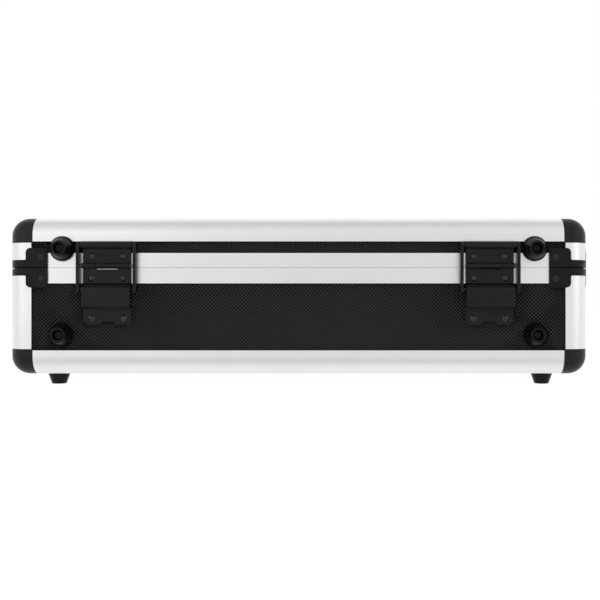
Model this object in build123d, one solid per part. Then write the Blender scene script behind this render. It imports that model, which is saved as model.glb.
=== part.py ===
from build123d import *
import os

# Microphone case: a shallow flight case with an aluminium frame, a hinged lid held by two lid stays,
# two draw latches and a carrying handle. Millimetres, +Z up, front at -Y, hinges at +Y.
# The origin is under the middle of the case, on the surface that its feet stand on.

# ---- driving dimensions -------------------------------------------------------------------------
case_width = 480.0
case_depth = 340.0
base_height = 88.1
lid_height = 41.7
panel_thickness = 5.0

# edge extrusion: a quarter round with a groove for each of the two panels it joins
edge_leg = 20.0
edge_radius = 15.0
edge_skin = 1.3
edge_inner_leg = 1.2
edge_web = 1.2

# ball corner
ball_size = 21.0
ball_joint_gap = 0.1
spigot_length = 12.0
spigot_clearance = 0.2

# valances, the pair of extrusions that meet at the parting line
base_valance_height = 12.85
lid_valance_height = 12.1
valance_floor = 1.8
seam_gap = 0.45
tongue_inset = 2.0
tongue_thickness = 1.4
tongue_height = 3.0
tongue_head_room = 0.6
rib_groove_width = 0.8
rib_groove_depth = 0.35
rib_pitch = 2.4
rib_count = 4

# corner clamps
clamp_thickness = 1.2
clamp_reach = 33.7
clamp_tab_start = 15.8
clamp_tab_height = 16.3
clamp_band_height = 6.4
clamp_tab_radius = 3.8
clamp_seat_gap = 0.05
clamp_gap = 0.9
clamp_flare = 1.6
clamp_pocket_slack = 0.1
clamp_rivet_in = 28.6
clamp_rivet_height = 9.0

# rubber feet
foot_radius = 10.3
foot_flange = 2.0
foot_height = 11.9
foot_lip = 0.3
foot_groove = 0.4
foot_face_radius = 6.1
foot_face_round = 0.7
foot_edge_round = 0.25
foot_recess_radius = 4.2
foot_recess_depth = 5.0
foot_bore = 4.2
foot_screw_head = 7.6
foot_screw_head_height = 2.2
foot_screw_shank = 4.0
foot_screw_slot_width = 1.0
foot_screw_slot_depth = 1.0
bottom_foot_from_side = 30.4
bottom_foot_inset = 42.0
base_back_foot_from_side = 44.6
base_back_foot_z = 32.8
lid_back_foot_from_side = 45.7
lid_back_foot_below_top = 26.1

# rivets
rivet_head = 5.4
rivet_head_height = 1.2
rivet_shank = 3.2
rivet_clearance = 0.1

# hinge
hinge_x = 157.3
hinge_width = 39.6
hinge_sheet = 1.2
leaf_gap = 1.4
sheet_bend = 1.5
valance_step_gap = 0.05
hinge_axis_out = 2.4
hinge_axis_up = 1.6
knuckle_radius = 2.2
hinge_pin = 2.4
hinge_pin_head = 3.8
hinge_pin_head_length = 1.2
pin_fit = 0.05
middle_knuckle_width = 17.0
knuckle_gap = 0.25
lid_leaf_bottom = 3.9
lid_leaf_top = 15.0
tube_out = 2.5
tube_up = 18.6
tube_radius = 3.05
tube_length = 42.0
hinge_rivet_x = 13.1
lid_leaf_rivet_up = 9.3
base_leaf_rivet_down = 8.7
tab_rivet_down = 41.7
bridge_top_down = 15.3
bridge_bottom_down = 33.2
bridge_proud = 7.0
tab_bottom_down = 47.3
tab_corner_radius = 5.0
tab_notch_width = 13.0
tab_notch_height = 3.0

# lid stay
stay_arm_thickness = 2.55
stay_inner_half = 21.95
stay_length = 36.5
stay_slide_out = 1.3
stay_pin = 3.0
slide_pin = 2.2
stay_boss_radius = 2.6
slide_boss_radius = 1.9
stay_front_out = 5.8
stay_wall_gap = 0.45
stay_shoulder_up = 12.0
stay_shoulder_down = 11.0
stay_tip_out = 4.2
stay_tip_down = 20.0
stay_tip_radius = 1.3

# draw latches
latch_x = 150.0
latch_width = 34.0
latch_sheet = 1.2
latch_plate_top_down = 0.9
latch_plate_height = 31.0
latch_pivot_out = 5.0
latch_pivot_down = 7.0
latch_crank = 7.0
claw_pin_out = 4.2
latch_pin = 2.4
lever_half_width = 14.0
lever_boss_radius = 2.4
lever_length = 24.0
lever_lip = 2.6
ear_gap = 0.4
claw_half_width = 10.0
claw_barrel_radius = 1.7
claw_front_out = 5.9
claw_roof_up = 7.0
claw_tip_out = 1.6
claw_tip_length = 1.5
claw_side_gap = 0.4
strike_bottom_up = 0.9
strike_height = 10.0
strike_shelf_up = 3.0
strike_lip_out = 4.3
strike_lip_thickness = 1.0
strike_lip_top_up = 6.6
strike_half_width = 11.0
latch_rivet_x = 14.2
lock_radius = 4.0
lock_down = 14.6
lock_proud = 1.0
lock_cam_length = 7.0
lock_cam_width = 3.6
lock_cam_thickness = 1.0
lock_fit = 0.06
lock_cam_out = 2.2
keeper_gap = 0.5
keeper_half = 2.4
keeper_overlap = 2.0
latch_plate_rivet_x = 11.0
latch_plate_rivet_up = 3.0
keyway_width = 1.2
keyway_length = 5.0

# carrying handle
handle_pivot_x = 56.5
handle_pivot_down = 27.5
handle_pivot_out = 6.5
handle_arm_width = 9.0
handle_barrel_radius = 4.6
handle_drop = 38.0
handle_grip_height = 19.0
handle_grip_thickness = 14.0
handle_arm_thickness = 7.0
handle_wall_gap = 0.8
handle_inner_radius = 6.0
handle_pin = 4.0
bracket_half_height = 12.5
bracket_sheet = 1.5
bracket_cheek = 2.0
bracket_side_gap = 0.5
bracket_rivet_up = 9.6

# foam
foam_gap = 0.3
base_foam_below_seam = 8.5
lid_foam_thickness = 25.0
pocket_count = 7
pocket_pitch = 62.0
pocket_head_radius = 27.0
pocket_body_width = 36.0
pocket_end_radius = 10.8
pocket_length = 175.0
pocket_depth = 46.0
pocket_front_margin = 12.0
well_count = 3
well_pitch = 146.0
well_width = 130.0
well_length = 96.0
well_back_margin = 12.0
well_radius = 8.0

# ---- levels and places that follow from them ----------------------------------------------------
inner_face = edge_skin + panel_thickness + edge_inner_leg
foot_stand = foot_height - edge_skin
z_bottom = foot_stand
z_seam = z_bottom + base_height
z_top = z_seam + lid_height
handle_front = handle_wall_gap + handle_grip_thickness
body_y = (handle_front - foot_height) / 2
y_front = body_y - case_depth / 2
y_back = body_y + case_depth / 2


# ---- small helpers ------------------------------------------------------------------------------
def block(x0, x1, y0, y1, z0, z1):
    """A box given by its two limits along each axis."""
    return Pos(x0, y0, z0) * Box(x1 - x0, y1 - y0, z1 - z0, align=(Align.MIN, Align.MIN, Align.MIN))


def rod(radius, x0, x1, y, z):
    """A round bar along X."""
    bar = Cylinder(radius, x1 - x0, align=(Align.CENTER, Align.CENTER, Align.MIN))
    return Pos(x0, y, z) * Rot(0, 90, 0) * bar


def side_profile(sketch, x0, x1):
    """Extrude a sketch drawn as (out from the wall, up) across the width from x0 to x1."""
    plane = Plane(origin=(x0, 0, 0), x_dir=(0, 1, 0), z_dir=(1, 0, 0))
    return extrude(plane * sketch, x1 - x0)


def sheet_profile(points, thickness, bend, x0, x1):
    """A bent sheet: a filleted path in (out, up), thickened to its left and extruded across the width."""
    path = FilletPolyline(*points, radius=bend)
    return side_profile(make_face(Wire(path.edges()).offset_2d(thickness, side=Side.LEFT)), x0, x1)


def at_corner(shape, side, face, level):
    """Move a shape drawn inward (+X, +Y, +Z) from one corner of the body to the corner named by signs."""
    if side > 0:
        shape = mirror(shape, about=Plane.YZ)
    if face > 0:
        shape = mirror(shape, about=Plane.XZ)
    if level > 0:
        shape = mirror(shape, about=Plane.XY)
    z = z_top if level > 0 else z_bottom
    return Pos(side * case_width / 2, body_y + face * case_depth / 2, z) * shape


def on_walls(long_shape, short_shape):
    """Place shapes drawn on a wall (X along it, +Y inward) on the front, back, right and left walls."""
    return (
        [Pos(0, y_front, 0) * long_shape, Pos(0, y_back, 0) * Rot(0, 0, 180) * long_shape],
        [Pos(case_width / 2, body_y, 0) * Rot(0, 0, 90) * short_shape,
         Pos(-case_width / 2, body_y, 0) * Rot(0, 0, -90) * short_shape],
    )


def on_back(shape, x, z):
    """Place hardware drawn with +Y outward on the back wall."""
    return Pos(x, y_back, z) * shape


def on_front(shape, x, z):
    """Place hardware drawn with +Y outward on the front wall."""
    return Pos(x, y_front, z) * Rot(0, 0, 180) * shape


def write(name, solids):
    """Write one sub-part, a single solid or a group of identical ones, under its own name."""
    group = solids if isinstance(solids, list) else [solids]
    pieces = [solid for item in group for solid in item.solids()]
    export_step(pieces[0] if len(pieces) == 1 else Compound(children=pieces), f"parts/{name}.step")


# ---- frame extrusions ---------------------------------------------------------------------------
def extrusion_hollow(inset=0.0):
    """The closed chamber between the rounded skin and the two panel grooves."""
    groove = edge_skin + panel_thickness
    near = edge_radius - edge_web
    arc_radius = edge_radius - edge_skin
    chamber = Rectangle(near, near, align=Align.MIN)
    chamber &= Pos(edge_radius, edge_radius) * Circle(arc_radius)
    chamber -= Pos(groove, groove) * Rectangle(near, near, align=Align.MIN)
    if inset:
        chamber = offset(chamber, -inset, kind=Kind.INTERSECTION)
    return chamber


def extrusion_section():
    """Section of the edge extrusion, with its two outer faces on the axes."""
    groove = edge_skin + panel_thickness
    outer = Rectangle(edge_leg, edge_leg, align=Align.MIN)
    outer = fillet(outer.vertices().sort_by(lambda v: v.X + v.Y)[:1], edge_radius)
    outer -= Pos(inner_face, inner_face) * Rectangle(edge_leg, edge_leg, align=Align.MIN)
    slot = Rectangle(edge_leg, panel_thickness, align=Align.MIN)
    outer -= Pos(edge_radius, edge_skin) * slot
    outer -= Pos(edge_skin, edge_radius) * Rectangle(panel_thickness, edge_leg, align=Align.MIN)
    return outer - extrusion_hollow()


def horizontal_edge(length):
    """Edge extrusion along X between two ball corners, centred, outer faces at y = 0 and z = 0."""
    half = length / 2 - ball_size - ball_joint_gap
    return side_profile(extrusion_section(), -half, half)


def corner_post(height):
    """Vertical edge extrusion up to the parting line, its skin cut away there for the clamp's band."""
    start, end = ball_size + ball_joint_gap, height - seam_gap / 2
    post = Pos(0, 0, start) * extrude(extrusion_section(), end - start)
    pocket = clamp_band(edge_skin, clamp_band_height - clamp_gap / 2, clamp_pocket_slack)
    pocket += extrude(corner_square(0, clamp_tab_start + clamp_thickness + clamp_pocket_slack)
                      - corner_square(edge_skin, case_width), -clamp_gap)
    return post - Pos(0, 0, height - clamp_gap / 2) * mirror(pocket, about=Plane.XY)


def ball_corner():
    """Moulded corner: rounded outside, rebated for the three panels, with a spigot for each extrusion."""
    body = Box(ball_size, ball_size, ball_size, align=Align.MIN)
    outer_edges = [e for e in body.edges() if min(v.center().length for v in e.vertices()) < 1e-6]
    body = fillet(outer_edges, edge_radius)
    body -= block(inner_face, ball_size, inner_face, ball_size, inner_face, ball_size)
    start = edge_radius - ball_joint_gap
    body -= block(start, ball_size, start, ball_size, edge_skin, ball_size)
    body -= block(edge_skin, ball_size, start, ball_size, start, ball_size)
    body -= block(start, ball_size, edge_skin, ball_size, start, ball_size)
    spigot = Pos(0, 0, ball_size) * extrude(extrusion_hollow(spigot_clearance), spigot_length)
    for turns in range(3):
        plane = (Plane.XY, Plane(origin=(0, 0, 0), x_dir=(0, 1, 0), z_dir=(1, 0, 0)),
                 Plane(origin=(0, 0, 0), x_dir=(0, 0, 1), z_dir=(0, 1, 0)))[turns]
        body += plane.location * spigot
    return body


# ---- valances -----------------------------------------------------------------------------------
def rib_grooves(height, up):
    """Shallow lengthwise grooves that leave fine ribs on the outer face of a valance."""
    first = height / 2 - rib_pitch * (rib_count - 1) / 2
    groove = Rectangle(rib_groove_depth * 2, rib_groove_width)
    return Sketch() + [Pos(0, up * (first + index * rib_pitch)) * groove for index in range(rib_count)]


def base_valance(length):
    """Base parting extrusion, centred on X: panel groove below, tongue above the seam."""
    top = -seam_gap / 2
    height = base_valance_height + top
    section = Pos(0, top) * Rectangle(inner_face, height, align=(Align.MIN, Align.MAX))
    groove = Rectangle(panel_thickness, height, align=(Align.MIN, Align.MAX))
    section -= Pos(edge_skin, top - valance_floor) * groove
    section += Pos(tongue_inset, top) * Rectangle(tongue_thickness, tongue_height - top, align=Align.MIN)
    section -= rib_grooves(base_valance_height, -1)
    half = length / 2 - edge_leg
    return Pos(0, 0, z_seam) * side_profile(section, -half, half)


def lid_valance(length):
    """Lid parting extrusion, centred on X: a rebate over the tongue and the panel groove above it."""
    bottom = seam_gap / 2
    height = lid_valance_height - bottom
    rebate_top = tongue_height + tongue_head_room
    section = Pos(0, bottom) * Rectangle(inner_face, height, align=Align.MIN)
    section -= Pos(edge_skin, bottom) * Rectangle(inner_face, rebate_top - bottom, align=Align.MIN)
    groove = Rectangle(panel_thickness, height, align=Align.MIN)
    section -= Pos(edge_skin, rebate_top + valance_floor) * groove
    section -= rib_grooves(lid_valance_height, 1)
    half = length / 2 - edge_leg
    return Pos(0, 0, z_seam) * side_profile(section, -half, half)


# ---- panels -------------------------------------------------------------------------------------
def wall_panel(length, z0, z1):
    """A vertical panel seated in the grooves round it, drawn on a wall."""
    half = length / 2 - edge_radius
    return block(-half, half, edge_skin, edge_skin + panel_thickness, z0, z1)


def flat_panel(level):
    """The bottom or top panel."""
    half_x = case_width / 2 - edge_radius
    half_y = case_depth / 2 - edge_radius
    z = z_bottom + edge_skin if level < 0 else z_top - edge_skin - panel_thickness
    return block(-half_x, half_x, body_y - half_y, body_y + half_y, z, z + panel_thickness)


def make_panels():
    base_top = z_seam - seam_gap / 2 - valance_floor
    lid_bottom = z_seam + tongue_height + tongue_head_room + valance_floor
    spans = {"base": (z_bottom + edge_radius, base_top), "lid": (lid_bottom, z_top - edge_radius)}
    for name, (z0, z1) in spans.items():
        (front, back), sides = on_walls(wall_panel(case_width, z0, z1), wall_panel(case_depth, z0, z1))
        write(f"{name}_front_panel", front)
        write(f"{name}_back_panel", back)
        write(f"{name}_side_panels", sides)
    write("base_bottom_panel", flat_panel(-1))
    write("lid_top_panel", flat_panel(1))


def make_frame():
    corners = [(side, face) for face in (-1, 1) for side in (-1, 1)]
    for name, level, height in (("base", -1, base_height), ("lid", 1, lid_height)):
        long_edge, short_edge = horizontal_edge(case_width), horizontal_edge(case_depth)
        if level > 0:
            long_edge, short_edge = mirror(long_edge, about=Plane.XY), mirror(short_edge, about=Plane.XY)
        z = z_top if level > 0 else z_bottom
        long_edges, short_edges = on_walls(Pos(0, 0, z) * long_edge, Pos(0, 0, z) * short_edge)
        write(f"{name}_long_edges", long_edges)
        write(f"{name}_short_edges", short_edges)
        post, ball = corner_post(height), ball_corner()
        write(f"{name}_corner_posts", [at_corner(post, *corner, level) for corner in corners])
        write(f"{name}_ball_corners", [at_corner(ball, *corner, level) for corner in corners])
    long_valances, short_valances = on_walls(base_valance(case_width), base_valance(case_depth))
    write("base_long_valances", long_valances)
    write("base_short_valances", short_valances)
    long_valances, short_valances = on_walls(lid_valance(case_width), lid_valance(case_depth))
    write("lid_long_valances", long_valances)
    write("lid_short_valances", short_valances)


# ---- rivets and clamps --------------------------------------------------------------------------
def rivet(sheet):
    """Domed rivet through a sheet, axis along +Y outward, head seated on the sheet's outer face."""
    dome_radius = (rivet_head ** 2 / 4 + rivet_head_height ** 2) / (2 * rivet_head_height)
    dome = Pos(0, 0, rivet_head_height - dome_radius) * Sphere(dome_radius)
    dome &= Cylinder(rivet_head, rivet_head_height, align=(Align.CENTER, Align.CENTER, Align.MIN))
    shank = Cylinder(rivet_shank / 2, sheet, align=(Align.CENTER, Align.CENTER, Align.MAX))
    return Pos(0, sheet, 0) * Rot(-90, 0, 0) * (dome + shank)


def rivet_hole(x, z, reach=20.0):
    """Clearance hole along Y for a rivet."""
    hole = Cylinder(rivet_shank / 2 + rivet_clearance, reach)
    return Pos(x, 0, z) * Rot(90, 0, 0) * hole


def corner_square(inset, size):
    """Area inside the rounded corner of the case, set in from its faces."""
    square = Pos(inset, inset) * Rectangle(size, size, align=Align.MIN)
    return fillet(square.vertices().sort_by(lambda v: v.X + v.Y)[:1], edge_radius - inset)


def clamp_band(depth, height, slack=0.0):
    """Band let into the corner posts, flush with their skin, with a flare at each end below its tab."""
    start, end = clamp_tab_start - clamp_flare, clamp_tab_start + clamp_thickness + slack
    top = height + clamp_flare + slack
    band = extrude((corner_square(0, end) - corner_square(depth, case_width)), top)
    band -= block(-1, start - slack, -1, start - slack, height + slack, top + 1)
    for turn in (False, True):
        flare = Pos(start - slack, 0, top) * Rot(90, 0, 0) * Cylinder(clamp_flare, 4 * depth)
        band -= mirror(flare, about=Plane(origin=(0, 0, 0), z_dir=(1, -1, 0))) if turn else flare
    return band


def clamp_tab(height, joggle_height):
    """One riveted tab on the outside of the valances, joggled in at its end to meet the band."""
    t, gap = clamp_thickness, clamp_seat_gap
    outline = Pos(clamp_tab_start, 0) * Rectangle(clamp_reach - clamp_tab_start, height, align=Align.MIN)
    outline = fillet(outline.vertices().group_by(Axis.Y)[-1], clamp_tab_radius)
    plate = Pos(0, -gap, 0) * Rot(90, 0, 0) * extrude(outline, t)
    joggle = block(clamp_tab_start, clamp_tab_start + t, -gap - t, t, 0, joggle_height)
    return plate + joggle - rivet_hole(clamp_rivet_in, clamp_rivet_height - clamp_gap / 2, 4 * t)


def corner_clamp():
    """Clamp drawn inward from a vertical corner and away from the seam: a flush band and two tabs."""
    band_height = clamp_band_height - clamp_gap / 2
    clamp = clamp_band(clamp_thickness, band_height)
    tab = clamp_tab(clamp_tab_height - clamp_gap / 2, band_height + clamp_flare)
    return clamp + tab + mirror(tab, about=Plane(origin=(0, 0, 0), z_dir=(1, -1, 0)))


def clamp_rivets():
    """The two rivets of one clamp, drawn like the clamp."""
    height = clamp_rivet_height - clamp_gap / 2
    one = Pos(clamp_rivet_in, -clamp_seat_gap, height) * mirror(rivet(clamp_thickness), about=Plane.XZ)
    return [one, mirror(one, about=Plane(origin=(0, 0, 0), z_dir=(1, -1, 0)))]


def at_seam_corner(shape, side, face, level):
    """Place a shape drawn away from the seam at one vertical corner, above (1) or below (-1) the seam."""
    if side > 0:
        shape = mirror(shape, about=Plane.YZ)
    if face > 0:
        shape = mirror(shape, about=Plane.XZ)
    if level < 0:
        shape = mirror(shape, about=Plane.XY)
    z = z_seam + level * clamp_gap / 2
    return Pos(side * case_width / 2, body_y + face * case_depth / 2, z) * shape


def make_clamps():
    corners = [(side, face) for face in (-1, 1) for side in (-1, 1)]
    clamp, rivets = corner_clamp(), clamp_rivets()
    for name, level in (("base", -1), ("lid", 1)):
        write(f"{name}_corner_clamps", [at_seam_corner(clamp, *corner, level) for corner in corners])
        write(f"{name}_clamp_rivets",
              [at_seam_corner(one, *corner, level) for corner in corners for one in rivets])


# ---- feet ---------------------------------------------------------------------------------------
def foot():
    """Tapered rubber foot standing along +Z from its seat: a lipped flange, a cone and a screw recess."""
    floor = foot_height - foot_recess_depth
    groove_outer = foot_radius - foot_lip
    profile = make_face(Polyline(
        (foot_bore / 2, 0), (foot_radius, 0), (foot_radius, foot_flange), (groove_outer, foot_flange),
        (groove_outer - foot_groove / 2, foot_flange - foot_groove), (groove_outer - foot_groove, foot_flange),
        (foot_face_radius, foot_height), (foot_recess_radius, foot_height), (foot_recess_radius, floor),
        (foot_bore / 2, floor), close=True))
    face_edges = profile.vertices().group_by(Axis.Y)[-1].sort_by(Axis.X)
    profile = fillet(face_edges[-1:], foot_face_round)
    for radius, level in ((foot_recess_radius, foot_height), (foot_radius, foot_flange)):
        corner = profile.vertices().sort_by_distance((radius, level, 0))[:1]
        profile = fillet(corner, foot_edge_round)
    return revolve(Plane.XZ * profile, Axis.Z)


def foot_screw():
    """Pan-head screw with a cross recess, seated on the floor of the foot's recess."""
    floor = foot_height - foot_recess_depth
    radius, top, bevel = foot_screw_head / 2, floor + foot_screw_head_height, foot_screw_head_height / 2
    half_shank = foot_screw_shank / 2
    profile = make_face(Polyline((0, 0), (half_shank, 0), (half_shank, floor), (radius, floor),
                                 (radius, top - bevel), (radius - bevel, top), (0, top), close=True))
    screw = revolve(Plane.XZ * profile, Axis.Z)
    for angle in (0, 90):
        slot = Box(foot_screw_head / 2, foot_screw_slot_width, 2 * foot_screw_slot_depth)
        screw -= Pos(0, 0, top) * Rot(0, 0, angle) * slot
    return screw


def foot_places(kind):
    """Seats of the feet of one kind, with +Z of the foot pointing away from the case."""
    if kind == "bottom":
        half_x = case_width / 2 - bottom_foot_from_side
        half_y = case_depth / 2 - bottom_foot_inset
        return [Pos(side * half_x, body_y + face * half_y, z_bottom + edge_skin) * Rot(180, 0, 0)
                for face in (-1, 1) for side in (-1, 1)]
    if kind == "base_back":
        inset, y, z = base_back_foot_from_side, y_back - edge_skin, z_bottom + base_back_foot_z
    else:
        inset, y, z = lid_back_foot_from_side, y_back, z_top - lid_back_foot_below_top
    return [Pos(side * (case_width / 2 - inset), y, z) * Rot(-90, 0, 0) for side in (-1, 1)]


def make_feet():
    for kind in ("bottom", "base_back", "lid_back"):
        write(f"{kind}_feet", [place * foot() for place in foot_places(kind)])
    base_places = foot_places("bottom") + foot_places("base_back")
    write("base_foot_screws", [place * foot_screw() for place in base_places])
    write("lid_foot_screws", [place * foot_screw() for place in foot_places("lid_back")])


# ---- hinges, drawn with +Y out of the back wall and Z measured from the seam --------------------
def knuckle(x0, x1, joined_to):
    """One knuckle of the lid hinge, merged with a leaf that ends at the height joined_to."""
    near = hinge_axis_out - knuckle_radius
    z0, z1 = sorted((joined_to, hinge_axis_up))
    web = block(x0, x1, near, hinge_sheet, z0, z1)
    barrel = rod(knuckle_radius, x0, x1, hinge_axis_out, hinge_axis_up)
    return web + barrel - rod(hinge_pin / 2 + pin_fit, x0 - 1, x1 + 1, hinge_axis_out, hinge_axis_up)


def hinge_base_plate():
    """Base plate: outer knuckles, riveted leaf, raised bridge for the slide pin and a lobed lower tab."""
    half, t = hinge_width / 2, hinge_sheet
    step = -base_valance_height - valance_step_gap
    step_front = -base_valance_height - edge_skin
    leaf = make_face(Polyline(
        (0, -leaf_gap), (t, -leaf_gap), (t, -base_valance_height), (t - edge_skin, step_front),
        (t - edge_skin, step_front - t), (-edge_skin, step_front - t), (-edge_skin, step), (0, step), close=True))
    roof = bridge_proud - t
    plate = sheet_profile([(-edge_skin, step), (-edge_skin, -bridge_top_down - t), (roof, -bridge_top_down - t),
                           (roof, -bridge_bottom_down + t), (-edge_skin, -bridge_bottom_down + t),
                           (-edge_skin, -tab_bottom_down)], t, sheet_bend, -half, half)
    plate += side_profile(leaf, -half, half)
    tab_corners = [e for e in plate.edges().filter_by(Axis.Y) if abs(e.center().Z + tab_bottom_down) < 1e-6]
    plate = fillet(tab_corners, tab_corner_radius)
    notch = extrude(Plane.XZ * SlotOverall(tab_notch_width, 2 * tab_notch_height), 2 * bridge_proud, both=True)
    plate -= Pos(0, 0, -tab_bottom_down) * notch
    inner = middle_knuckle_width / 2 + knuckle_gap
    for x0, x1 in ((-half, -inner), (inner, half)):
        plate += knuckle(x0, x1, -leaf_gap)
    for down in (base_leaf_rivet_down, tab_rivet_down):
        for side in (-1, 1):
            plate -= rivet_hole(side * hinge_rivet_x, -down, 4 * t)
    return plate


def hinge_lid_leaf():
    """Lid leaf: middle knuckle, riveted leaf and the rolled tube that carries the stay's top pin."""
    half, t = hinge_width / 2, hinge_sheet
    middle = middle_knuckle_width / 2
    leaf = block(-half, half, 0, t, lid_leaf_bottom, tube_up)
    leaf += block(-middle, middle, 0, t, hinge_axis_up, lid_leaf_bottom)
    leaf += knuckle(-middle, middle, lid_leaf_bottom)
    leaf += rod(tube_radius, -tube_length / 2, tube_length / 2, tube_out, tube_up)
    leaf -= rod(stay_pin / 2 + pin_fit, -tube_length, tube_length, tube_out, tube_up)
    leaf -= rod(hinge_pin / 2 + pin_fit, -half, half, hinge_axis_out, hinge_axis_up)
    for side in (-1, 1):
        leaf -= rivet_hole(side * hinge_rivet_x, lid_leaf_rivet_up, 4 * t)
    return leaf


def hinge_pin_rod(side):
    """Hinge pin through the three knuckles, with its head on the side nearest the end of the case."""
    half = hinge_width / 2
    head = rod(hinge_pin_head / 2, *sorted((side * half, side * (half + hinge_pin_head_length))),
               hinge_axis_out, hinge_axis_up)
    return rod(hinge_pin / 2, -half, half, hinge_axis_out, hinge_axis_up) + head


def slide_down():
    """How far below the seam the slide pin stands with the lid closed."""
    return (stay_length ** 2 - (tube_out - stay_slide_out) ** 2) ** 0.5 - tube_up


def stay_arm_outline():
    """Outline of a stay arm in (out, up): bosses round both pins, a straight front and a tapered tip."""
    strip = (stay_front_out - stay_wall_gap) / 2
    middle = stay_wall_gap + strip
    circles = [Pos(tube_out, tube_up) * Circle(stay_boss_radius),
               Pos(middle, stay_shoulder_up) * Circle(strip), Pos(middle, -stay_shoulder_down) * Circle(strip),
               Pos(stay_slide_out, -slide_down()) * Circle(slide_boss_radius),
               Pos(stay_tip_out, -stay_tip_down) * Circle(stay_tip_radius)]
    outline = make_hull([edge for circle in circles for edge in circle.edges()])
    relief_top = lid_valance_height + clamp_thickness
    relief_bottom = -base_valance_height - clamp_thickness
    relief = Pos(stay_wall_gap, relief_bottom) * Rectangle(2 * edge_radius, relief_top - relief_bottom,
                                                           align=(Align.MAX, Align.MIN))
    outline -= relief
    outline -= Pos(tube_out, tube_up) * Circle(stay_pin / 2 + pin_fit)
    return outline - Pos(stay_slide_out, -slide_down()) * Circle(slide_pin / 2 + pin_fit)


def stay_arms():
    """The two arms of one lid stay."""
    inner, outer = stay_inner_half, stay_inner_half + stay_arm_thickness
    outline = stay_arm_outline()
    return [side_profile(outline, -outer, -inner), side_profile(outline, inner, outer)]


def stay_pins():
    """Top pin and slide pin of one lid stay, ending flush with its arms."""
    end = stay_inner_half + stay_arm_thickness
    return [rod(stay_pin / 2, -end, end, tube_out, tube_up),
            rod(slide_pin / 2, -end, end, stay_slide_out, -slide_down())]


def make_hinges():
    plate, leaf = hinge_base_plate(), hinge_lid_leaf()
    arms, pins, head = stay_arms(), stay_pins(), rivet(hinge_sheet)
    base_rivets, lid_rivets = [], []
    # "left" and "right" are seen from the front of the case
    for name, x in (("left", -hinge_x), ("right", hinge_x)):
        write(f"hinge_base_plate_{name}", on_back(plate, x, z_seam))
        write(f"hinge_lid_leaf_{name}", on_back(leaf, x, z_seam))
        write(f"hinge_pin_{name}", on_back(hinge_pin_rod(1 if x > 0 else -1), x, z_seam))
        write(f"stay_{name}", [on_back(arm, x, z_seam) for arm in arms])
        write(f"stay_pins_{name}", [on_back(one, x, z_seam) for one in pins])
        for side in (-1, 1):
            at = x + side * hinge_rivet_x
            base_rivets.append(on_back(head, at, z_seam - base_leaf_rivet_down))
            base_rivets.append(on_back(Pos(0, -edge_skin, 0) * head, at, z_seam - tab_rivet_down))
            lid_rivets.append(on_back(head, at, z_seam + lid_leaf_rivet_up))
    write("hinge_base_rivets", base_rivets)
    write("hinge_lid_rivets", lid_rivets)


# ---- draw latches, drawn with +Y out of the front wall and Z measured from the seam --------------
def latch_plate():
    """Latch plate: riveted plate, two ears for the lever's pivots and the keeper for the lock's cam."""
    half, t = latch_width / 2, latch_sheet
    top = -latch_plate_top_down
    bottom = top - latch_plate_height
    plate = block(-half, half, 0, t, bottom, top)
    plate = fillet(plate.edges().filter_by(Axis.Y), 2 * t)
    ear_inner = lever_half_width + ear_gap
    ear_radius = latch_pin / 2 + 2 * t
    for side in (-1, 1):
        outline = Pos(latch_pivot_out, -latch_pivot_down) * Circle(ear_radius)
        outline += Pos(0, -latch_pivot_down) * Rectangle(latch_pivot_out, 2 * ear_radius,
                                                        align=(Align.MIN, Align.CENTER))
        outline -= Pos(latch_pivot_out, -latch_pivot_down) * Circle(latch_pin / 2 + pin_fit)
        x0, x1 = sorted((side * ear_inner, side * (ear_inner + t)))
        plate += side_profile(outline, x0, x1)
    for side in (-1, 1):
        plate -= rivet_hole(side * latch_plate_rivet_x, bottom + latch_plate_rivet_up, 4 * t)
    return plate + lock_keeper()


def lock_keeper():
    """Bent tab beside the lock: the cam turns in behind its lip."""
    z = -latch_pivot_down - lock_down
    lip_near = lock_cam_out + lock_cam_thickness + keeper_gap
    reach = lock_cam_length + keeper_gap
    post = block(reach, reach + latch_sheet, latch_sheet, lip_near, z - keeper_half, z + keeper_half)
    lip = block(lock_cam_length - keeper_overlap, reach + latch_sheet, lip_near, lip_near + latch_sheet,
                z - keeper_half, z + keeper_half)
    return post + lip


def lever():
    """Lever: a channel with a finger lip, bored for its pivots, the claw pin and the lock."""
    half, t = lever_half_width, latch_sheet
    outer = latch_pivot_out + lever_boss_radius
    top = -latch_pivot_down + lever_boss_radius
    bottom = -latch_pivot_down - lever_length
    shell = sheet_profile([(outer - t, top - lever_boss_radius), (outer - t, bottom + t),
                           (outer + lever_lip, bottom + t)], t, sheet_bend, -half, half)
    pin_down = latch_pivot_down + latch_crank
    cheek = make_hull([edge for circle in
                       (Pos(latch_pivot_out, -latch_pivot_down) * Circle(lever_boss_radius),
                        Pos(claw_pin_out, -pin_down) * Circle(lever_boss_radius),
                        Pos(outer - t, bottom + 2 * t) * Circle(t))
                       for edge in circle.edges()])
    for side in (-1, 1):
        x0, x1 = sorted((side * (half - t), side * half))
        shell += side_profile(cheek, x0, x1)
    shell -= rod(latch_pin / 2 + pin_fit, -2 * half, 2 * half, latch_pivot_out, -latch_pivot_down)
    shell -= rod(latch_pin / 2 + pin_fit, -2 * half, 2 * half, claw_pin_out, -pin_down)
    window = claw_half_width + claw_side_gap
    shell -= block(-window, window, 0, 2 * outer, -pin_down - claw_barrel_radius - claw_side_gap, top)
    lock_place = Pos(0, 0, -latch_pivot_down - lock_down) * Rot(90, 0, 0)
    lock_hole = lock_place * Cylinder(lock_radius + lock_fit, 4 * outer)
    return shell - lock_hole


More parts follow.
